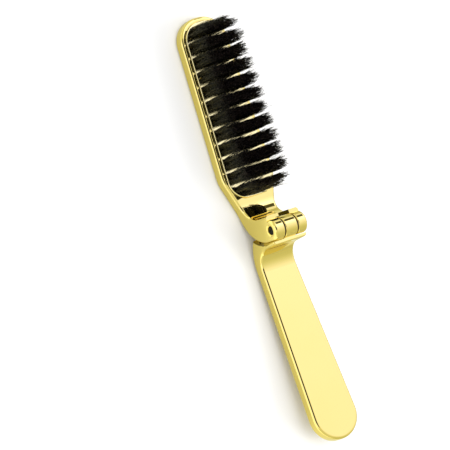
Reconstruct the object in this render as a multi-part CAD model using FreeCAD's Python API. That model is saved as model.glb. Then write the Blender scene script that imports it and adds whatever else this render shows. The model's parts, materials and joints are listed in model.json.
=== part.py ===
import FreeCAD, Part
import math
import os

from FreeCAD import Vector

# Folding travel brush, opened almost flat and lying on its back, bristles up.
# X runs along the length towards the head, Y across the width, Z up.
# The origin is on the floor, under the middle of the brush.
# Every piece is drawn with both backs in one plane; the handle is then turned into the resting pose.

# Resting pose: how far, in degrees, the arms are short of flat
rest_bend = 5.8

# Arms
head_reach = 96.0
handle_reach = 91.0
arm_thickness = 5.6
handle_end_width = 21.6
head_near_width = 26.2
head_far_width = 22.6
head_corner_radius = 10.6
hinge_width = 16.4
neck_reach = 10.0
neck_radius = 20.0
head_shoulder_reach = 25.5
head_shoulder_radius = 14.0
arm_edge_radius = 1.3

# J-shaped feet that carry the hinge
pin_height = 21.8
lug_radius = 4.7
outer_corner_radius = 17.0
inner_corner_radius = 8.0
lip_thickness = 1.4
notch_depth = 4.4

# Hinge
running_gap = 0.25
stop_gap = 0.1
tongue_width = 5.8
hinge_edge_radius = 0.4
lip_edge_radius = 0.5
washer_thickness = 0.6
washer_play = 0.05
washer_radius = 4.0
pin_radius = 1.9
pin_running_gap = 0.05
pin_recess = 0.45
pin_chamfer = 0.15
pin_dimple_radius = 0.8
pin_dimple_depth = 0.35
recess_radius = 2.05
recess_flare = 0.55
recess_flare_depth = 0.3

# Bristle plate and its tray
rim_width = 1.9
plate_thickness = 3.2
plate_proud = 0.8
plate_fit_gap = 0.15
plate_start = 16.4
plate_near_radius = 8.0
plate_edge_radius = 0.4
adhesive_thickness = 0.2
adhesive_inset = 0.6

# Tufts
band_count = 12
band_near_margin = 3.2
band_far_margin = 4.06
hole_depth = 2.4
hole_edge_margin = 0.55
column_pitch = 3.4
bristle_length = 16.2
anchor_thickness = 0.35
anchor_height = 1.0
anchor_lift = 0.4
anchor_end_gap = 0.15

# Distance between the two rows of a band, as a share of the distance from band to band
row_share = 0.4225

# Radius of a hole and of a tuft's tip, as shares of the distance between the two rows
hole_share = 0.4074
tip_share = 0.4593

# Share of the running gap that counts as no distance when edges are picked
slack_share = 0.02

# Values that follow from the ones above
overrun = 2.0 * hinge_width
rest_turn = math.radians(rest_bend)
handle_end_centre = (handle_reach - arm_edge_radius) * math.cos(rest_turn)
handle_end_swing = (pin_height - arm_edge_radius) * math.sin(rest_turn)
handle_span = handle_end_centre + handle_end_swing + arm_edge_radius
pin_x = (handle_span - head_reach) / 2.0
step_reach = lug_radius + running_gap + lip_thickness
shoulder_radius = outer_corner_radius + running_gap
corner_reach = outer_corner_radius - lug_radius
slot_width = tongue_width + 2.0 * (washer_thickness + washer_play)
tray_floor = arm_thickness + plate_proud - plate_thickness - adhesive_thickness
plate_bottom = tray_floor + adhesive_thickness
plate_top = plate_bottom + plate_thickness
hole_floor = plate_top - hole_depth
tip_height = arm_thickness + bristle_length
head_taper = math.atan((head_near_width - head_far_width) / 2.0 / (head_reach - head_shoulder_reach))
plate_inset = rim_width + plate_fit_gap
plate_end = head_reach - plate_inset
plate_far_radius = head_corner_radius - plate_inset
first_band = plate_start + band_near_margin
last_band = plate_end - band_far_margin
band_pitch = (last_band - first_band) / (band_count - 1)
row_pitch = band_pitch * row_share
hole_radius = row_pitch * hole_share
tuft_tip_radius = row_pitch * tip_share
slack = running_gap * slack_share
diagonal = math.sqrt(0.5)

# Which way an arm points from the pin
HEAD = Vector(1, 0, 0)
HANDLE = Vector(-1, 0, 0)


def at(side, reach, z, y=0.0):
    """A point at a given reach from the pin axis, along the arm on that side."""
    return Vector(pin_x + side.x * reach, y, z)


def line(a, b):
    return Part.LineSegment(a, b).toShape()


def arc(a, middle, b):
    return Part.Arc(a, middle, b).toShape()


def quarter(side, reach, z, radius, y=0.0):
    """Middle point of a corner arc that turns towards the pin and the floor."""
    return at(side, reach - radius * diagonal, z - radius * diagonal, y)


def prism(edges, direction):
    return Part.Face(Part.Wire(Part.__sortEdges__(edges))).extrude(direction)


def slab(y_from, y_to):
    """A wide block between two planes across the width."""
    corner = Vector(-head_reach - overrun, y_from, -overrun)
    length = 2.0 * (head_reach + overrun)
    return Part.makeBox(length, y_to - y_from, pin_height + 2.0 * overrun, corner)


def cross_cylinder(radius, y_from, y_to):
    """A cylinder about the pin axis."""
    return Part.makeCylinder(radius, y_to - y_from, at(HEAD, 0.0, pin_height, y_from), Vector(0, 1, 0))


def mirrored(edges):
    """The same edges on the other side of the middle plane."""
    return edges + [edge.mirror(Vector(0, 0, 0), Vector(0, 1, 0)) for edge in edges]


def handle_outline(z):
    """Half the handle seen from above: a straight side that widens to a round end."""
    radius = handle_end_width / 2.0
    centre = handle_reach - radius
    half = hinge_width / 2.0
    turn = math.asin(radius / math.hypot(centre, half)) - math.atan2(half, centre)
    near = at(HANDLE, -step_reach, z, half - step_reach * math.tan(turn))
    far = at(HANDLE, centre - radius * math.sin(turn), z, radius * math.cos(turn))
    swing = (math.pi / 2.0 + turn) / 2.0
    middle = at(HANDLE, centre + radius * math.cos(swing), z, radius * math.sin(swing))
    tip = at(HANDLE, handle_reach, z)
    return [line(near, far), arc(far, middle, tip), line(at(HANDLE, -step_reach, z), near)]


def rounded_path(points, radii, z):
    """Lines through points given as reach and half width, each corner rounded to its own radius."""
    places = [Vector(reach, half, 0) for reach, half in points]
    edges = []
    start = places[0]
    for before, corner, after, radius in zip(places, places[1:], places[2:], radii):
        back = (before - corner).normalize()
        onward = (after - corner).normalize()
        half_angle = back.getAngle(onward) / 2.0
        run = radius / math.tan(half_angle)
        inward = (back + onward).normalize() * (radius / math.sin(half_angle) - radius)
        turn = [corner + back * run, corner + inward, corner + onward * run]
        first, middle, last = [at(HEAD, place.x, z, place.y) for place in turn]
        edges.append(line(at(HEAD, start.x, z, start.y), first))
        edges.append(arc(first, middle, last))
        start = turn[2]
    edges.append(line(at(HEAD, start.x, z, start.y), at(HEAD, places[-1].x, z, places[-1].y)))
    return edges


def head_half(reach):
    """Half the head's width where its sides run straight, from the shoulder to the far end."""
    return head_near_width / 2.0 - (reach - head_shoulder_reach) * math.tan(head_taper)


def head_outline(z):
    """Half the head seen from above: hinge width, a shoulder, then sides that taper to a round end."""
    points = [
        (-step_reach, hinge_width / 2.0),
        (neck_reach, hinge_width / 2.0),
        (head_shoulder_reach, head_half(head_shoulder_reach)),
        (head_reach, head_half(head_reach)),
        (head_reach, 0.0),
    ]
    edges = rounded_path(points, (neck_radius, head_shoulder_radius, head_corner_radius), z)
    near = at(HEAD, -step_reach, z)
    return edges + [line(near, at(HEAD, -step_reach, z, hinge_width / 2.0))]


def outline_prism(half_edges, rise):
    """A prism between a half outline and its mirror image."""
    return prism(mirrored(half_edges), Vector(0, 0, rise))


def arm_profile_prism(side, reach, step_height):
    """The arm seen from the side: flat back, J-shaped foot, barrel round the pin, step, flat front."""
    y = -overrun
    back_end = at(side, reach + overrun, 0.0, y)
    back_corner = at(side, corner_reach, 0.0, y)
    outer_foot = at(side, -lug_radius, outer_corner_radius, y)
    outer_pin = at(side, -lug_radius, pin_height, y)
    barrel_top = at(side, 0.0, pin_height + lug_radius, y)
    inner_pin = at(side, lug_radius, pin_height, y)
    inner_low = at(side, lug_radius, step_height, y)
    step = at(side, step_reach, step_height, y)
    inner_z = arm_thickness + inner_corner_radius
    inner_foot = at(side, step_reach, inner_z, y)
    front_corner = at(side, step_reach + inner_corner_radius, arm_thickness, y)
    front_end = at(side, reach + overrun, arm_thickness, y)
    outer_mid = quarter(side, corner_reach, outer_corner_radius, outer_corner_radius, y)
    inner_mid = quarter(side, step_reach + inner_corner_radius, inner_z, inner_corner_radius, y)
    edges = [
        line(back_end, back_corner),
        arc(back_corner, outer_mid, outer_foot),
        line(outer_foot, outer_pin),
        arc(outer_pin, barrel_top, inner_pin),
        line(inner_low, step),
        line(step, inner_foot),
        arc(inner_foot, inner_mid, front_corner),
        line(front_corner, front_end),
        line(front_end, back_end),
    ]
    if step_height < pin_height:
        edges.append(line(inner_pin, inner_low))
    return prism(edges, Vector(0, 2.0 * overrun, 0))


def middle_of(edge):
    return edge.valueAt((edge.FirstParameter + edge.LastParameter) / 2.0)


def places_on(edge):
    return [vertex.Point for vertex in edge.Vertexes] + [middle_of(edge)]


def rounded_arm(side, reach, outline, step_height):
    """An arm with its long edges rounded, all along both sides and round the far end."""
    whole = pin_height + overrun
    body = arm_profile_prism(side, reach, step_height).common(outline_prism(outline(0.0), whole))
    body = body.removeSplitter()
    picked = []
    for edge in body.Edges:
        first = edge.Vertexes[0].Point
        last = edge.Vertexes[-1].Point
        middle = middle_of(edge)
        reach_here = abs(middle.x - pin_x)
        upright = math.hypot(first.x - last.x, first.y - last.y) < slack
        across = abs(first.y + last.y) < slack and abs(first.y) > slack and reach_here < reach - slack
        step_edge = abs(middle.z - step_height) < slack and lug_radius < reach_here < step_reach
        drop_edge = abs(reach_here - lug_radius) < slack and step_height < middle.z < pin_height
        far_upright = upright and reach_here > step_reach + slack
        if across and abs(middle.y) < slack:
            continue
        if step_edge or drop_edge or far_upright:
            continue
        picked.append(edge)
    return body.makeFillet(arm_edge_radius, picked)


def round_barrel(body, half_width):
    """Round the barrel's edges on the two planes at a half width from the middle."""

    def on_edge(place):
        radius = math.hypot(place.x - pin_x, place.z - pin_height)
        return abs(abs(place.y) - half_width) < slack and abs(radius - lug_radius) < slack

    picked = [edge for edge in body.Edges if all(on_edge(place) for place in places_on(edge))]
    return body.makeFillet(hinge_edge_radius, picked)


def round_lip(body):
    """Round the outer edge of the end of the handle's lip."""
    level = pin_height - stop_gap
    inner = lug_radius + running_gap

    def on_edge(place):
        return abs(place.z - level) < slack and pin_x - place.x > inner + slack

    picked = [edge for edge in body.Edges if all(on_edge(place) for place in places_on(edge))]
    return body.makeFillet(lip_edge_radius, picked)


def far_side_cutter(side):
    """Everything on the other arm's side of that arm's outer foot, with the running gap."""
    y = -overrun
    wall = -lug_radius - running_gap
    top = pin_height + overrun
    upper = at(side, wall, top, y)
    foot = at(side, wall, outer_corner_radius, y)
    low = at(side, corner_reach, -running_gap, y)
    low_far = at(side, corner_reach + overrun, -running_gap, y)
    top_far = at(side, corner_reach + overrun, top, y)
    mid = quarter(side, corner_reach, outer_corner_radius, shoulder_radius, y)
    edges = [
        line(upper, foot),
        arc(foot, mid, low),
        line(low, low_far),
        line(low_far, top_far),
        line(top_far, upper),
    ]
    return prism(edges, Vector(0, 2.0 * overrun, 0))


def make_handle():
    body = rounded_arm(HANDLE, handle_reach, handle_outline, pin_height - stop_gap)
    cutter = far_side_cutter(HEAD)
    flanks = [slab(tongue_width / 2.0, overrun), slab(-overrun, -tongue_width / 2.0)]
    for flank in flanks:
        body = body.cut(cutter.common(flank))
    bore = cross_cylinder(pin_radius + pin_running_gap, -overrun, overrun)
    body = body.cut(bore).removeSplitter()
    return round_lip(round_barrel(body, tongue_width / 2.0))


def pin_recess_cutter(way):
    """Recess over one end of the pin, flared at its mouth."""
    face = way * hinge_width / 2.0
    bottom = way * (hinge_width / 2.0 - pin_recess)
    out = Vector(0, way, 0)
    straight = Part.makeCylinder(recess_radius, overrun, at(HEAD, 0.0, pin_height, bottom), out)
    base = at(HEAD, 0.0, pin_height, face - way * recess_flare_depth)
    flare_rise = 2.0 * recess_flare_depth
    flare = Part.makeCone(recess_radius, recess_radius + 2.0 * recess_flare, flare_rise, base, out)
    return straight.fuse(flare)


def make_head_frame():
    body = rounded_arm(HEAD, head_reach, head_outline, pin_height)
    slot = slab(-slot_width / 2.0, slot_width / 2.0)
    body = body.cut(far_side_cutter(HANDLE).common(slot))
    notch_corner = at(HEAD, 0.0, pin_height - notch_depth, -slot_width / 2.0)
    notch = Part.makeBox(step_reach + lip_thickness, slot_width, 2.0 * notch_depth, notch_corner)
    body = body.cut(notch)
    body = body.cut(plate_prism(-plate_fit_gap, tray_floor, arm_thickness + overrun))
    body = body.cut(cross_cylinder(pin_radius, -overrun, overrun))
    for way in (-1.0, 1.0):
        body = body.cut(pin_recess_cutter(way))
    return round_barrel(body.removeSplitter(), slot_width / 2.0)


def plate_half(reach, inset=0.0):
    """Half the plate's width where its sides run straight."""
    return head_half(reach) - (plate_inset + inset) / math.cos(head_taper)


def plate_prism(inset, z_from, z_to):
    """The bristle plate's outline from one height to another, set in all round."""
    near = plate_start + inset
    far = plate_end - inset
    points = [(near, 0.0), (near, plate_half(near, inset)), (far, plate_half(far, inset)), (far, 0.0)]
    edges = rounded_path(points, (plate_near_radius - inset, plate_far_radius - inset), z_from)
    return outline_prism(edges, z_to - z_from).removeSplitter()


def plate_half_width(reach):
    """Half the plate's width at a reach from the pin, also on its rounded ends."""
    half = plate_half(reach)
    for end, way, radius in ((plate_start, 1.0, plate_near_radius), (plate_end, -1.0, plate_far_radius)):
        lack = radius - way * (reach - end)
        if lack > 0.0:
            half = min(half, plate_half(end + way * radius) - radius + math.sqrt(radius ** 2 - lack ** 2))
    return half


def tuft_places():
    """For each band, the reach and width position of its tufts, in two rows side by side."""
    bands = []
    for number in range(band_count):
        middle = first_band + number * band_pitch
        places = []
        for offset in (-row_pitch / 2.0, row_pitch / 2.0):
            u = middle + offset
            inner = min(plate_half_width(u - hole_radius), plate_half_width(u + hole_radius))
            span = inner - hole_edge_margin - hole_radius
            gaps = int(2.0 * span / column_pitch)
            pitch = 2.0 * span / gaps
            places.extend((u, pitch * index - span) for index in range(gaps + 1))
        bands.append(places)
    return bands


def make_anchor(u, y):
    length = 2.0 * (hole_radius - anchor_end_gap)
    corner = at(HEAD, u - length / 2.0, hole_floor + anchor_lift, y - anchor_thickness / 2.0)
    return Part.makeBox(length, anchor_thickness, anchor_height, corner)


def make_tuft(u, y, anchor):
    foot = Part.makeCylinder(hole_radius, hole_depth, at(HEAD, u, hole_floor, y))
    rise = tip_height - plate_top
    brush = Part.makeCone(hole_radius, tuft_tip_radius, rise, at(HEAD, u, plate_top, y))
    return foot.fuse(brush).cut(anchor)


def make_plate(bands):
    body = plate_prism(0.0, plate_bottom, plate_top)
    top = [e for e in body.Edges if all(abs(v.Z - plate_top) < slack for v in e.Vertexes)]
    body = body.makeFillet(plate_edge_radius, top)
    holes = []
    for places in bands:
        for u, y in places:
            holes.append(Part.makeCylinder(hole_radius, overrun, at(HEAD, u, hole_floor, y)))
    return body.cut(Part.makeCompound(holes))


def make_pin():
    end = hinge_width / 2.0 - pin_recess
    body = cross_cylinder(pin_radius, -end, end)
    ends = [e for e in body.Edges if abs(e.Vertexes[0].Y - e.Vertexes[-1].Y) < slack]
    body = body.makeChamfer(pin_chamfer, ends)
    for way in (-1.0, 1.0):
        base = at(HEAD, 0.0, pin_height, way * end)
        dimple = Part.makeCone(pin_dimple_radius, 0.0, pin_dimple_depth, base, Vector(0, -way, 0))
        body = body.cut(dimple)
    return body


def make_washer(way):
    """A friction washer lying against the inside of one lug."""
    inner = slot_width / 2.0 - washer_thickness
    y_from = min(way * inner, way * slot_width / 2.0)
    ring = cross_cylinder(washer_radius, y_from, y_from + washer_thickness)
    return ring.cut(cross_cylinder(pin_radius + pin_running_gap, -overrun, overrun))


def save(name, shape, bend=0.0):
    """Write a piece, turned about the pin by the given angle in degrees."""
    laid = shape.copy()
    laid.rotate(at(HEAD, 0.0, pin_height), Vector(0, 1, 0), bend)
    laid.exportStep(os.path.join("parts", name + ".step"))


os.makedirs("parts", exist_ok=True)
tuft_bands = tuft_places()
save("head_frame", make_head_frame())
save("handle", make_handle(), rest_bend)
save("bristle_plate", make_plate(tuft_bands))
save("plate_adhesive", plate_prism(adhesive_inset, tray_floor, plate_bottom))
save("hinge_pin", make_pin())
save("friction_washer_left", make_washer(1.0))
save("friction_washer_right", make_washer(-1.0))
all_anchors = []
for index, band in enumerate(tuft_bands):
    tufts = []
    for place_u, place_y in band:
        wire = make_anchor(place_u, place_y)
        all_anchors.append(wire)
        tufts.append(make_tuft(place_u, place_y, wire))
    save("tuft_band_%02d" % (index + 1), Part.makeCompound(tufts))
save("tuft_anchors", Part.makeCompound(all_anchors))
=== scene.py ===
import json
import math
import random

import bmesh
import bpy
from mathutils import Matrix, Vector

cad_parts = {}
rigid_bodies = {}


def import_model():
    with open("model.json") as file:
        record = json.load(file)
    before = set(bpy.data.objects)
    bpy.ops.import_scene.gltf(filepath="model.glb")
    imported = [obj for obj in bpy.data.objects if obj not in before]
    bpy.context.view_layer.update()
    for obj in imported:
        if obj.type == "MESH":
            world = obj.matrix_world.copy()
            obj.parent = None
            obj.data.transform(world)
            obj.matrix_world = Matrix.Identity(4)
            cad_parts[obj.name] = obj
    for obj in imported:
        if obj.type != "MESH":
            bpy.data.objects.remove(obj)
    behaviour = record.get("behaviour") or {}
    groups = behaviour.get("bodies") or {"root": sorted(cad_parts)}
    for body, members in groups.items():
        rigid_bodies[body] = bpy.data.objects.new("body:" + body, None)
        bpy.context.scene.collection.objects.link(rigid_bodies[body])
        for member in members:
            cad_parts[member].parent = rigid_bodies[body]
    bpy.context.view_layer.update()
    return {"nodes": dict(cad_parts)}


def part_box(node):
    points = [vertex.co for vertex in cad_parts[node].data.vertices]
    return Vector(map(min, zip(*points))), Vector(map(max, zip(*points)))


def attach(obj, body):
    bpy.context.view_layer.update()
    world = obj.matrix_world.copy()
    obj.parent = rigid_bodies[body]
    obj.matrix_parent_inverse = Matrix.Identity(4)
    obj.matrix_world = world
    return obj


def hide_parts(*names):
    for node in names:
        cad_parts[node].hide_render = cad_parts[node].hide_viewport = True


# Folding travel brush, opened almost flat, with the back of its head on the floor.
# Lengths are metres in the frame of the solids: +X to the tip of the head, +Y to the camera's side, +Z up.

for thing in list(bpy.data.objects):
    bpy.data.objects.remove(thing)
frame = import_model()
nodes = frame["nodes"]
MILLIMETRE = 0.001
FULL_TURN = 2.0 * math.pi

# Holes and bands of the solids that the bristles stand in, and how near two points count as one place
band_count = 12
hole_radius = 1.1 * MILLIMETRE
mouth_above_anchor = 1.5 * MILLIMETRE
same_place = 0.01 * MILLIMETRE

# One bristle: its size, its taper, and how it bends
bristle_radius = 0.105 * MILLIMETRE
free_length = 15.3 * MILLIMETRE
root_sink = 0.6 * MILLIMETRE
points_along = 8
sides_around = 3
tip_thinning = 0.5
thinning_power = 3.0
wave_turn = 4.5
bend_power = 1.35

# One tuft: how its bristles spread in the hole, open out, gather and stray
bristles_in_tuft = 80
root_spread = 0.86
bloom_rate = 6.0
short_power = 1.5
stray_power = 3.5
stray_along = 0.6
stray_across = 0.8
clump_scale = 900.0
clump_detail = 1.0
clump_middle = (0.5, 0.5, 0.5)
clump_shares = (0.5, 1.0, 1.0)

# Tufts along the head: the lean of their tips, and how far the tufts at the ends of a row open out
pair_lean = 0.50 * MILLIMETRE
hinge_lean = 0.35 * MILLIMETRE
tip_lean = -0.40 * MILLIMETRE
tuft_sway = 0.30 * MILLIMETRE
hinge_opening = 1.0
tip_opening = 0.10
far_side_opening = 0.30
end_shares = (1.0, 0.5)
sway_seed = 29
band_seed_step = 100

# Inputs of the bristle tree. The fans and the bloom are shares of the hole's radius.
bristle_inputs = (
    ("Bristles in tuft", "NodeSocketInt", bristles_in_tuft),
    ("Hole radius", "NodeSocketFloat", hole_radius),
    ("Free length", "NodeSocketFloat", free_length),
    ("Length scatter", "NodeSocketFloat", 0.22),
    ("Bristle radius", "NodeSocketFloat", bristle_radius),
    ("Fan along", "NodeSocketFloat", 0.22),
    ("End fan", "NodeSocketFloat", 0.95),
    ("Fan across", "NodeSocketFloat", 1.0),
    ("Bloom", "NodeSocketFloat", 0.10),
    ("Stray", "NodeSocketFloat", 2.4 * MILLIMETRE),
    ("Clump", "NodeSocketFloat", 1.5 * MILLIMETRE),
    ("Wave", "NodeSocketFloat", 0.3 * MILLIMETRE),
    ("Seed", "NodeSocketInt", 1),
    ("Finish", "NodeSocketMaterial", None),
)


# Building nodes and objects

def add(tree, kind, inputs=None, **settings):
    """A new node with its settings, and with its inputs linked or set."""
    made = tree.nodes.new(kind)
    for name, value in settings.items():
        setattr(made, name, value)
    for key, value in (inputs or {}).items():
        if isinstance(value, bpy.types.NodeSocket):
            tree.links.new(value, made.inputs[key])
        else:
            made.inputs[key].default_value = value
    return made


def calc(tree, operation, *values):
    """The result of one sum on numbers."""
    return add(tree, "ShaderNodeMath", dict(enumerate(values)), operation=operation).outputs[0]


def vector_calc(tree, operation, *values):
    """The result of one sum on vectors."""
    return add(tree, "ShaderNodeVectorMath", dict(enumerate(values)), operation=operation).outputs[0]


def scaled(tree, vector, factor):
    """A vector or colour times a number."""
    return add(tree, "ShaderNodeVectorMath", {0: vector, "Scale": factor}, operation="SCALE").outputs[0]


def level_vector(tree, along, across):
    """A vector that lies level, from its parts along and across the brush."""
    return add(tree, "ShaderNodeCombineXYZ", {0: along, 1: across}).outputs[0]


def noise(tree, place, scale, detail):
    """The outputs of a noise texture."""
    return add(tree, "ShaderNodeTexNoise", {"Vector": place, "Scale": scale, "Detail": detail}).outputs


def ranged(tree, value, source=(0.0, 1.0), target=(0.0, 1.0), blend="LINEAR"):
    """A value carried from one range to another and held within it."""
    ends = {"From Min": source[0], "From Max": source[1], "To Min": target[0], "To Max": target[1]}
    return add(tree, "ShaderNodeMapRange", {"Value": value, **ends}, interpolation_type=blend).outputs[0]


def colour_between(tree, share, first, second):
    """The colour at a share of the way from the first to the second."""
    return add(tree, "ShaderNodeMix", {0: share, 6: first, 7: second}, data_type="RGBA").outputs[2]


def ramp(tree, position, stops):
    """The colour at a position between 0 and 1, from stops of a position and a colour in rising order."""
    made = add(tree, "ShaderNodeValToRGB", {0: position})
    elements = made.color_ramp.elements
    while len(elements) < len(stops):
        elements.new(0.5)
    for element, (at, colour) in zip(elements, stops):
        element.position = at
        element.color = colour
    return made.outputs[0]


def rgb(red, green, blue):
    """An opaque colour."""
    return (red, green, blue, 1.0)


def grey(level):
    """An opaque grey."""
    return rgb(level, level, level)


def group_socket(tree, name, kind, way="INPUT", value=None):
    """A new socket of a node group, with its first value where it has one."""
    socket = tree.interface.new_socket(name=name, in_out=way, socket_type=kind)
    if value is not None:
        socket.default_value = value


def place_object(name, data):
    """A new object at the origin, linked to the scene."""
    made = bpy.data.objects.new(name, data)
    bpy.context.scene.collection.objects.link(made)
    return made


# Bristles

def keep(tree, geometry, name, kind, value):
    """The geometry with a value stored on its points under a name."""
    inputs = {"Geometry": geometry, "Name": name, "Value": value}
    return add(tree, "GeometryNodeStoreNamedAttribute", inputs, data_type=kind, domain="POINT").outputs[0]


def kept(tree, name, kind):
    """The value stored under a name."""
    return add(tree, "GeometryNodeInputNamedAttribute", {"Name": name}, data_type=kind).outputs[0]


def bristle_roots(tree, given):
    """Points spread evenly over each hole, with the values that make each bristle differ from the next."""
    index = add(tree, "GeometryNodeInputIndex").outputs[0]

    def chance(step, low=0.0, high=1.0):
        """A random number for each point, with a seed of its own for each step."""
        seed = calc(tree, "ADD", given["Seed"], float(step))
        inputs = {"ID": index, "Seed": seed, 2: low, 3: high}
        return add(tree, "FunctionNodeRandomValue", inputs, data_type="FLOAT").outputs[1]

    tufts = add(tree, "GeometryNodeMeshToPoints", {"Mesh": given["Geometry"]}).outputs[0]
    copies = {"Geometry": tufts, "Amount": given["Bristles in tuft"]}
    roots = add(tree, "GeometryNodeDuplicateElements", copies, domain="POINT").outputs[0]

    angle = chance(1, 0.0, FULL_TURN)
    reach = calc(tree, "SQRT", chance(2))
    disc_x = calc(tree, "MULTIPLY", calc(tree, "COSINE", angle), reach)
    disc_y = calc(tree, "MULTIPLY", calc(tree, "SINE", angle), reach)
    disc = level_vector(tree, disc_x, disc_y)
    roots = keep(tree, roots, "disc", "FLOAT_VECTOR", disc)
    roots = keep(tree, roots, "tone", "FLOAT", chance(3))

    shorter = calc(tree, "MULTIPLY", given["Length scatter"], calc(tree, "POWER", chance(4), short_power))
    length = calc(tree, "MULTIPLY", given["Free length"], calc(tree, "SUBTRACT", 1.0, shorter))
    roots = keep(tree, roots, "length", "FLOAT", length)

    stray = level_vector(tree, chance(5, -stray_along, stray_along), chance(6, -stray_across, stray_across))
    rare = calc(tree, "POWER", chance(7), stray_power)
    stray = scaled(tree, stray, calc(tree, "MULTIPLY", given["Stray"], rare))
    roots = keep(tree, roots, "stray", "FLOAT_VECTOR", stray)
    roots = keep(tree, roots, "phase", "FLOAT", chance(8, 0.0, FULL_TURN))

    offset = scaled(tree, disc, calc(tree, "MULTIPLY", given["Hole radius"], root_spread))
    roots = add(tree, "GeometryNodeSetPosition", {"Geometry": roots, "Offset": offset}).outputs[0]

    place = add(tree, "GeometryNodeInputPosition").outputs[0]
    cloud = noise(tree, place, clump_scale, clump_detail)["Color"]
    cloud = vector_calc(tree, "SUBTRACT", cloud, clump_middle)
    cloud = vector_calc(tree, "MULTIPLY", cloud, clump_shares)
    return keep(tree, roots, "clump", "FLOAT_VECTOR", scaled(tree, cloud, given["Clump"]))


def bristle_bend(tree, given, along):
    """How far each point of a bristle is moved from its place on a straight line of length 1."""
    radius = given["Hole radius"]
    disc = kept(tree, "disc", "FLOAT_VECTOR")

    fan_along = calc(tree, "MULTIPLY", kept(tree, "end", "FLOAT"), given["End fan"])
    fan_along = calc(tree, "MULTIPLY", calc(tree, "ADD", given["Fan along"], fan_along), radius)
    fan = level_vector(tree, fan_along, calc(tree, "MULTIPLY", given["Fan across"], radius))
    shift = vector_calc(tree, "MULTIPLY", disc, fan)
    for name in ("stray", "lean", "clump"):
        shift = vector_calc(tree, "ADD", shift, kept(tree, name, "FLOAT_VECTOR"))
    shift = scaled(tree, shift, calc(tree, "POWER", along, bend_power))

    early = calc(tree, "MINIMUM", calc(tree, "MULTIPLY", along, bloom_rate), 1.0)
    bloom = calc(tree, "MULTIPLY", early, calc(tree, "MULTIPLY", given["Bloom"], radius))
    shift = vector_calc(tree, "ADD", shift, scaled(tree, disc, bloom))

    turn = calc(tree, "ADD", kept(tree, "phase", "FLOAT"), calc(tree, "MULTIPLY", along, wave_turn))
    wave = level_vector(tree, calc(tree, "SINE", turn), calc(tree, "COSINE", turn))
    wave = scaled(tree, wave, calc(tree, "MULTIPLY", given["Wave"], along))

    rise = calc(tree, "MULTIPLY", along, calc(tree, "SUBTRACT", kept(tree, "length", "FLOAT"), 1.0))
    lift = add(tree, "ShaderNodeCombineXYZ", {2: rise}).outputs[0]
    return vector_calc(tree, "ADD", vector_calc(tree, "ADD", shift, wave), lift)


def bristle_tree():
    """Each point of the input mesh is the root of a tuft, and gets its bent, tapered bristles."""
    tree = bpy.data.node_groups.new("bristle_tufts", "GeometryNodeTree")
    group_socket(tree, "Geometry", "NodeSocketGeometry")
    for name, kind, value in bristle_inputs:
        group_socket(tree, name, kind, value=value)
    group_socket(tree, "Geometry", "NodeSocketGeometry", "OUTPUT")
    given = add(tree, "NodeGroupInput").outputs
    roots = bristle_roots(tree, given)

    unit = add(tree, "GeometryNodeCurvePrimitiveLine", {"Start": (0, 0, 0), "End": (0, 0, 1)}).outputs[0]
    unit = add(tree, "GeometryNodeResampleCurve", {"Curve": unit, "Count": points_along}).outputs[0]
    lines = add(tree, "GeometryNodeInstanceOnPoints", {"Points": roots, "Instance": unit}).outputs[0]
    lines = add(tree, "GeometryNodeRealizeInstances", {"Geometry": lines}).outputs[0]
    along = add(tree, "GeometryNodeSplineParameter").outputs["Factor"]
    lines = keep(tree, lines, "along", "FLOAT", along)
    bend = bristle_bend(tree, given, along)
    lines = add(tree, "GeometryNodeSetPosition", {"Geometry": lines, "Offset": bend}).outputs[0]

    thinner = calc(tree, "MULTIPLY", calc(tree, "POWER", along, thinning_power), tip_thinning)
    taper = calc(tree, "SUBTRACT", 1.0, thinner)
    ring = {"Resolution": sides_around, "Radius": given["Bristle radius"]}
    ring = add(tree, "GeometryNodeCurvePrimitiveCircle", ring, mode="RADIUS").outputs[0]
    tubes = {"Curve": lines, "Profile Curve": ring, "Scale": taper, "Fill Caps": True}
    tubes = add(tree, "GeometryNodeCurveToMesh", tubes).outputs[0]
    tubes = add(tree, "GeometryNodeSetShadeSmooth", {"Geometry": tubes, "Shade Smooth": True}).outputs[0]
    tubes = add(tree, "GeometryNodeRealizeInstances", {"Geometry": tubes}).outputs[0]
    tubes = add(tree, "GeometryNodeSetMaterial", {"Geometry": tubes, "Material": given["Finish"]}).outputs[0]
    add(tree, "NodeGroupOutput", {0: tubes})
    return tree


def anchor_centres():
    """The middle of each tuft's wire anchor, from the solids, in order along the head and then across it."""
    work = bmesh.new()
    work.from_mesh(nodes["tuft_anchors"].data)
    bmesh.ops.remove_doubles(work, verts=work.verts, dist=same_place)
    left = set(work.verts)
    centres = []
    while left:
        anchor = {left.pop()}
        waiting = list(anchor)
        while waiting:
            corner = waiting.pop()
            for edge in corner.link_edges:
                other = edge.other_vert(corner)
                if other in left:
                    left.remove(other)
                    anchor.add(other)
                    waiting.append(other)
        centres.append(sum((corner.co for corner in anchor), Vector()) / len(anchor))
    work.free()
    return sorted(centres, key=lambda centre: (round(centre.x, 5), centre.y))


def end_share(centre, centres, opening):
    """How far a tuft opens out along the head: only the tufts near the ends of a row do."""
    row = sorted(other.y for other in centres if abs(other.x - centre.x) < same_place)
    from_end = min(row.index(centre.y), len(row) - 1 - row.index(centre.y))
    if from_end >= len(end_shares):
        return 0.0
    return end_shares[from_end] * (opening if centre.y > 0.0 else far_side_opening)


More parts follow.
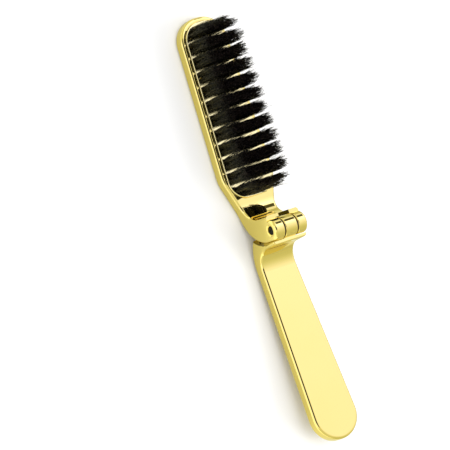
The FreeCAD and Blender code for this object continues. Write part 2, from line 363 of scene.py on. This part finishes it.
def band_roots(number, centres, sway):
    """The roots of one band's tufts as the points of a mesh, with the lean and the end share of each tuft.
    The two rows of a band lean towards each other, less so where the tufts open out."""
    mesh = bpy.data.meshes.new("roots_%02d" % (number + 1))
    up_to_root = Vector((0, 0, mouth_above_anchor - root_sink))
    mesh.from_pydata([centre + up_to_root for centre in centres], [], [])
    mesh.attributes.new("lean", "FLOAT_VECTOR", "POINT")
    mesh.attributes.new("end", "FLOAT", "POINT")
    leaning = hinge_lean + (tip_lean - hinge_lean) * number / (band_count - 1)
    opening = hinge_opening + (tip_opening - hinge_opening) * number / (band_count - 1)
    middle = (min(centre.x for centre in centres) + max(centre.x for centre in centres)) / 2.0
    for at, centre in enumerate(centres):
        share = end_share(centre, centres, opening)
        inward = pair_lean * (1.0 - share) * (1.0 if centre.x < middle else -1.0)
        lean_along = leaning + inward + tuft_sway * sway.uniform(-1.0, 1.0)
        lean_across = tuft_sway * sway.uniform(-1.0, 1.0)
        mesh.attributes["lean"].data[at].vector = (lean_along, lean_across, 0.0)
        mesh.attributes["end"].data[at].value = share
    return mesh


def grown_bristles(number, roots, tree, finish):
    """The bristles that the tree grows on the roots of one band's tufts, as a plain mesh."""
    pick = {item.name: item.identifier for item in tree.interface.items_tree if item.in_out == "INPUT"}
    maker = place_object("maker_%02d" % (number + 1), roots)
    modifier = maker.modifiers.new("tufts", "NODES")
    modifier.node_group = tree
    modifier[pick["Free length"]] = free_length + root_sink
    modifier[pick["Seed"]] = band_seed_step * (number + 1)
    modifier[pick["Finish"]] = finish
    graph = bpy.context.evaluated_depsgraph_get()
    made = bpy.data.meshes.new_from_object(maker.evaluated_get(graph))
    maker.modifiers.remove(modifier)
    bpy.data.objects.remove(maker)
    return made


def make_bristles(finish):
    """One piece for each band of tufts, from the hinge end to the tip of the head."""
    tree = bristle_tree()
    sway = random.Random(sway_seed)
    all_centres = anchor_centres()
    for number in range(band_count):
        low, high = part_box("tuft_band_%02d" % (number + 1))
        roots = band_roots(number, [c for c in all_centres if low.x <= c.x <= high.x], sway)
        made = grown_bristles(number, roots, tree, finish)
        piece = place_object("bristle_band_%02d" % (number + 1), made)
        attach(piece, "head")
        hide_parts("tuft_band_%02d" % (number + 1))


# Patterns that the finishes share

def pattern_group(name, scale):
    """A new group that is given a place and a scale."""
    tree = bpy.data.node_groups.new(name, "ShaderNodeTree")
    group_socket(tree, "Place", "NodeSocketVector")
    group_socket(tree, "Scale", "NodeSocketFloat", value=scale)
    return tree


def ripple_group(fine_scale=9.0, fine_share=0.04):
    """Slow waves of a polished and plated surface with finer ones on them, as a height."""
    tree = pattern_group("polish_ripple", scale=60.0)
    group_socket(tree, "Height", "NodeSocketFloat", "OUTPUT")
    given = add(tree, "NodeGroupInput").outputs
    slow = noise(tree, given["Place"], given["Scale"], detail=1.0)[0]
    fine = noise(tree, given["Place"], calc(tree, "MULTIPLY", given["Scale"], fine_scale), detail=2.0)[0]
    add(tree, "NodeGroupOutput", {0: calc(tree, "ADD", slow, calc(tree, "MULTIPLY", fine, fine_share))})
    return tree


def smudge_group(clean_below=0.42, full_above=0.72):
    """Faint handling marks, as a mask from 0 to 1."""
    tree = pattern_group("handling_marks", scale=90.0)
    group_socket(tree, "Mask", "NodeSocketFloat", "OUTPUT")
    given = add(tree, "NodeGroupInput").outputs
    cloud = noise(tree, given["Place"], given["Scale"], detail=4.0)[0]
    add(tree, "NodeGroupOutput", {0: ranged(tree, cloud, (clean_below, full_above))})
    return tree


def drift_group(first_below=0.3, other_above=0.7):
    """Slow drift between two tones of one finish."""
    tree = pattern_group("tone_drift", scale=25.0)
    group_socket(tree, "Tone", "NodeSocketColor")
    group_socket(tree, "Other tone", "NodeSocketColor")
    group_socket(tree, "Colour", "NodeSocketColor", "OUTPUT")
    given = add(tree, "NodeGroupInput").outputs
    cloud = noise(tree, given["Place"], given["Scale"], detail=3.0)[0]
    share = ranged(tree, cloud, (first_below, other_above))
    add(tree, "NodeGroupOutput", {0: colour_between(tree, share, given["Tone"], given["Other tone"])})
    return tree


ripple = ripple_group()
smudge = smudge_group()
drift = drift_group()


def use(tree, group, **inputs):
    """The output of a pattern. An underscore in the name of an input stands for a space."""
    named = {key.replace("_", " "): value for key, value in inputs.items()}
    return add(tree, "ShaderNodeGroup", named, node_tree=group).outputs[0]


# Finishes

def finish_start(name):
    """An empty finish: its tree, its shader and the object coordinates."""
    finish = bpy.data.materials.new(name)
    finish.use_nodes = True
    tree = finish.node_tree
    shader = next(n for n in tree.nodes if n.type == "BSDF_PRINCIPLED")
    place = tree.nodes.new("ShaderNodeTexCoord").outputs["Object"]
    return finish, tree, shader, place


def varied(name, tones, roughness, relief_scale, relief, tone_scale, mark_scale):
    """A finish and its shader. Its tone, roughness and level vary a little over the surface."""
    finish, tree, shader, place = finish_start(name)
    colour = use(tree, drift, Place=place, Scale=tone_scale, Tone=tones[0], Other_tone=tones[1])
    tree.links.new(colour, shader.inputs["Base Color"])
    marks = use(tree, smudge, Place=place, Scale=mark_scale)
    tree.links.new(ranged(tree, marks, target=roughness), shader.inputs["Roughness"])
    height = use(tree, ripple, Place=place, Scale=relief_scale)
    bump = add(tree, "ShaderNodeBump", {"Height": height, "Strength": 1.0, "Distance": relief}).outputs[0]
    tree.links.new(bump, shader.inputs["Normal"])
    return finish, shader


def metal(name, tones, roughness, relief_scale, relief):
    """A metal finish and its shader."""
    finish, shader = varied(name, tones, roughness, relief_scale, relief, tone_scale=25.0, mark_scale=110.0)
    shader.inputs["Metallic"].default_value = 1.0
    return finish, shader


def dull(name, tones, roughness, relief_scale, relief):
    """A matt plastic or film with a fine grain."""
    return varied(name, tones, roughness, relief_scale, relief, tone_scale=180.0, mark_scale=300.0)[0]


def gold_plate():
    """Polished gold plating under a thin clear lacquer, for the two arms."""
    finish, shader = metal(
        "polished_gold_plate", tones=(rgb(1.0, 0.82, 0.26), rgb(1.0, 0.805, 0.24)),
        roughness=(0.03, 0.07), relief_scale=55.0, relief=0.01 * MILLIMETRE)
    shader.inputs["Coat Weight"].default_value = 0.6
    shader.inputs["Coat Roughness"].default_value = 0.03
    return finish


def insert_gold():
    """The paler, softer gold of the moulded plate."""
    return metal(
        "moulded_plate_gold", tones=(rgb(1.0, 0.89, 0.46), rgb(1.0, 0.87, 0.42)),
        roughness=(0.08, 0.14), relief_scale=120.0, relief=0.01 * MILLIMETRE)[0]


def pin_steel():
    """The dark end of the hinge pin."""
    return metal(
        "dark_pin_steel", tones=(rgb(0.020, 0.018, 0.015), rgb(0.014, 0.013, 0.011)),
        roughness=(0.45, 0.60), relief_scale=700.0, relief=0.02 * MILLIMETRE)[0]


def anchor_brass():
    """The flat wire that holds each tuft."""
    return metal(
        "anchor_brass", tones=(rgb(0.78, 0.58, 0.26), rgb(0.70, 0.50, 0.22)),
        roughness=(0.25, 0.40), relief_scale=600.0, relief=0.02 * MILLIMETRE)[0]


def washer_nylon():
    """The black friction washers."""
    return dull(
        "black_washer_nylon", tones=(rgb(0.020, 0.018, 0.016), rgb(0.032, 0.029, 0.026)),
        roughness=(0.45, 0.62), relief_scale=1800.0, relief=0.03 * MILLIMETRE)


def glue_film():
    """The film that holds the plate in its tray."""
    return dull(
        "cured_glue_film", tones=(rgb(0.80, 0.76, 0.62), rgb(0.72, 0.68, 0.55)),
        roughness=(0.35, 0.55), relief_scale=900.0, relief=0.05 * MILLIMETRE)


def bristle_hair():
    """Black hair-like bristle, turning a dark red brown towards its tip. A few bristles are lighter."""
    finish, tree, shader, place = finish_start("black_bristle_hair")
    along = add(tree, "ShaderNodeAttribute", attribute_name="along").outputs["Fac"]
    tone = add(tree, "ShaderNodeAttribute", attribute_name="tone").outputs["Fac"]
    root_black = rgb(0.0022, 0.0022, 0.0024)
    shaft_black = rgb(0.003, 0.0028, 0.003)
    tip_brown = rgb(0.012, 0.008, 0.006)
    shaft_end = 0.86
    rareness = 5.0
    black = ramp(tree, along, ((0.0, root_black), (shaft_end, shaft_black), (1.0, tip_brown)))
    lighter = ranged(tree, calc(tree, "POWER", tone, rareness), target=(0.6, 6.0))
    tree.links.new(scaled(tree, black, lighter), shader.inputs["Base Color"])
    cloud = noise(tree, place, scale=900.0, detail=2.0)[0]
    tree.links.new(ranged(tree, cloud, target=(0.20, 0.34)), shader.inputs["Roughness"])
    shader.inputs["Specular IOR Level"].default_value = 0.30
    return finish


def dress(finish, *names):
    """Gives the named solids their finish."""
    for name in names:
        mesh = nodes[name].data
        mesh.materials.clear()
        mesh.materials.append(finish)


dress(gold_plate(), "head_frame", "handle")
dress(insert_gold(), "bristle_plate")
dress(pin_steel(), "hinge_pin")
dress(anchor_brass(), "tuft_anchors")
dress(washer_nylon(), "friction_washer_left", "friction_washer_right")
dress(glue_film(), "plate_adhesive")
make_bristles(bristle_hair())


# Floor, light and camera. A level of 1 is white, and a direction points away from the brush.

# The floor, and the tones across the brush in which mirror-like metal shows it: painted shade and a painted
# yellow tint, darkest on the brush's far side, half dark near it, lighter out on the camera's side
floor_radius = 6.0
floor_sides = 96
floor_tone = grey(0.93)
floor_shade = grey(0.91)
floor_tone_scale = 3.0
mirror_shade_reach = 0.05
mirror_painted_shade_dark = rgb(0.40, 0.39, 0.22)
mirror_painted_shade_middle = rgb(0.62, 0.62, 0.42)
mirror_painted_tint_light = rgb(0.95, 0.95, 0.80)
mirror_painted_shade_stops = (
    (0.28, mirror_painted_shade_dark), (0.36, mirror_painted_shade_middle), (0.68, mirror_painted_shade_middle), (0.78, mirror_painted_tint_light),
)

# Behind the brush, a row of soft lights: how far a direction points along the brush, and its level there.
# The levels are kept as shares of the full level.
row_lights = (
    (-1.0, 0.55), (-0.72, 0.64), (-0.46, 0.78), (-0.26, 0.90), (-0.06, 1.0), (0.14, 1.12),
    (0.29, 1.3), (0.46, 1.8), (0.63, 1.5), (0.77, 1.1), (0.9, 0.8), (1.0, 0.6),
)
full_level = 3.0

# On the camera's side, an even level and one broad soft light that fades out between two angles in degrees
camera_side_level = 0.7
soft_light_level = 0.5
soft_light_direction = (0.0, 0.94, 0.34)
soft_light_angles = (15.0, 32.0)
side_change = (-0.15, 0.25)

# Two dark gaps: a round one near the camera, and a streak given by its middle and half width
gap_direction = (0.14, 0.52, 0.85)
gap_angles = (22.0, 26.0)
gap_narrowing = 1.3
gap_depth = 0.93
streak_along = (0.72, 0.09)
streak_across = (-0.5, 0.07)

# The tints of dim and bright parts of the studio, and the even room that lights the floor and the bristles
tint_change = (0.5, 1.2)
dim_tint = rgb(1.0, 1.0, 0.62)
bright_tint = rgb(1.0, 1.0, 1.25)
room_level = 0.75

# The photo's camera: the directions of its right, its top and its back, and where it stands
camera_right = Vector((-0.30524, -0.82656, 0.47290))
camera_up = Vector((0.95216, -0.25705, 0.16530))
camera_back = Vector((-0.01507, 0.50073, 0.86547))
camera_place = (-0.007115, 0.471580, 0.788761)
camera_lens = 172.49
camera_sensor = 36.0


def make_floor():
    """A plain pale floor. Mirror-like metal shows it in yellower, darker tones that change across the brush:
    painted shade and tint that only reflections see.
    """
    mesh = bpy.data.meshes.new("floor")
    work = bmesh.new()
    bmesh.ops.create_circle(work, cap_ends=True, segments=floor_sides, radius=floor_radius)
    work.to_mesh(mesh)
    work.free()
    floor = place_object("floor", mesh)
    finish, tree, shader, place = finish_start("pale_floor")
    plain = use(tree, drift, Place=place, Scale=floor_tone_scale, Tone=floor_tone, Other_tone=floor_shade)
    across = add(tree, "ShaderNodeSeparateXYZ", {0: place}).outputs[1]
    # Painted shade and yellow tint of the floor, seen only in reflections and darkest on the brush's far
    # side
    mirror_painted_shade = ramp(tree, ranged(tree, across, (-mirror_shade_reach, mirror_shade_reach)), mirror_painted_shade_stops)
    glossy = tree.nodes.new("ShaderNodeLightPath").outputs["Is Glossy Ray"]
    tree.links.new(colour_between(tree, glossy, plain, mirror_painted_shade), shader.inputs["Base Color"])
    shader.inputs["Roughness"].default_value = 0.8
    shader.inputs["Specular IOR Level"].default_value = 0.1
    mesh.materials.append(finish)


def studio_patch(tree, way, direction, angles, narrowing=1.0):
    """1 within the first angle of a direction, 0 beyond the second, and narrowed along the brush."""
    inner, outer = (math.cos(math.radians(angle)) for angle in angles)
    aim = tuple(Vector(direction).normalized())
    seen = vector_calc(tree, "NORMALIZE", vector_calc(tree, "MULTIPLY", way, (narrowing, 1.0, 1.0)))
    dot = add(tree, "ShaderNodeVectorMath", {0: seen, 1: aim}, operation="DOT_PRODUCT").outputs["Value"]
    return ranged(tree, dot, (outer, inner), blend="SMOOTHSTEP")


def studio_level(tree, way):
    """The level that a mirror sees in a direction: lights on both sides of the brush, with two dark gaps."""
    along, across = add(tree, "ShaderNodeSeparateXYZ", {0: way}).outputs[:2]
    stops = [((at + 1.0) / 2.0, grey(level / full_level)) for at, level in row_lights]
    behind = calc(tree, "MULTIPLY", ramp(tree, ranged(tree, along, (-1.0, 1.0)), stops), full_level)
    soft_light = studio_patch(tree, way, soft_light_direction, soft_light_angles)
    before = calc(tree, "ADD", camera_side_level, calc(tree, "MULTIPLY", soft_light, soft_light_level))
    side = ranged(tree, across, side_change, blend="SMOOTHSTEP")
    before = calc(tree, "MULTIPLY", before, side)
    behind = calc(tree, "MULTIPLY", behind, calc(tree, "SUBTRACT", 1.0, side))
    level = calc(tree, "ADD", before, behind)
    gap = studio_patch(tree, way, gap_direction, gap_angles, gap_narrowing)
    streak_x = calc(tree, "COMPARE", along, *streak_along)
    streak_y = calc(tree, "COMPARE", across, *streak_across)
    streak = calc(tree, "MULTIPLY", streak_x, streak_y)
    for dark in (gap, streak):
        left = calc(tree, "SUBTRACT", 1.0, calc(tree, "MULTIPLY", dark, gap_depth))
        level = calc(tree, "MULTIPLY", level, left)
    return level


def make_world():
    """An even white room for lighting, and for mirrors a studio of soft lights and dark gaps."""
    world = bpy.data.worlds.new("studio")
    bpy.context.scene.world = world
    world.use_nodes = True
    tree = world.node_tree
    tree.nodes.clear()
    way = vector_calc(tree, "NORMALIZE", tree.nodes.new("ShaderNodeTexCoord").outputs["Generated"])
    level = studio_level(tree, way)
    tint = colour_between(tree, ranged(tree, level, tint_change, blend="SMOOTHSTEP"), dim_tint, bright_tint)
    studio = add(tree, "ShaderNodeBackground", {"Color": tint, "Strength": level}).outputs[0]
    room = add(tree, "ShaderNodeBackground", {"Color": grey(1.0), "Strength": room_level}).outputs[0]
    glossy = tree.nodes.new("ShaderNodeLightPath").outputs["Is Glossy Ray"]
    mixed = add(tree, "ShaderNodeMixShader", {0: glossy, 1: room, 2: studio}).outputs[0]
    add(tree, "ShaderNodeOutputWorld", {"Surface": mixed})


def make_lamp(name, place, width, power):
    """A soft square lamp that points at the origin and shows in no mirror."""
    data = bpy.data.lights.new(name, "AREA")
    data.shape = "RECTANGLE"
    data.size, data.size_y = width, width
    data.energy = power
    lamp = place_object(name, data)
    lamp.location = place
    lamp.rotation_mode = "QUATERNION"
    lamp.rotation_quaternion = (-Vector(place)).to_track_quat("-Z", "Y")
    lamp.visible_glossy = False


def make_camera():
    """The camera of the photo."""
    data = bpy.data.cameras.new("camera")
    data.lens = camera_lens
    data.sensor_width = camera_sensor
    data.clip_start = 0.01
    data.clip_end = 50.0
    camera = place_object("camera", data)
    turn = Matrix((camera_right, camera_up, camera_back)).transposed().to_4x4()
    camera.matrix_world = Matrix.Translation(camera_place) @ turn
    bpy.context.scene.camera = camera


make_floor()
make_world()
make_lamp("key_lamp", (-0.55, -0.85, 0.75), width=1.0, power=9.0)
make_lamp("top_lamp", (0.1, 0.1, 1.4), width=1.2, power=9.0)
make_camera()
bpy.context.scene.view_settings.view_transform = "Standard"
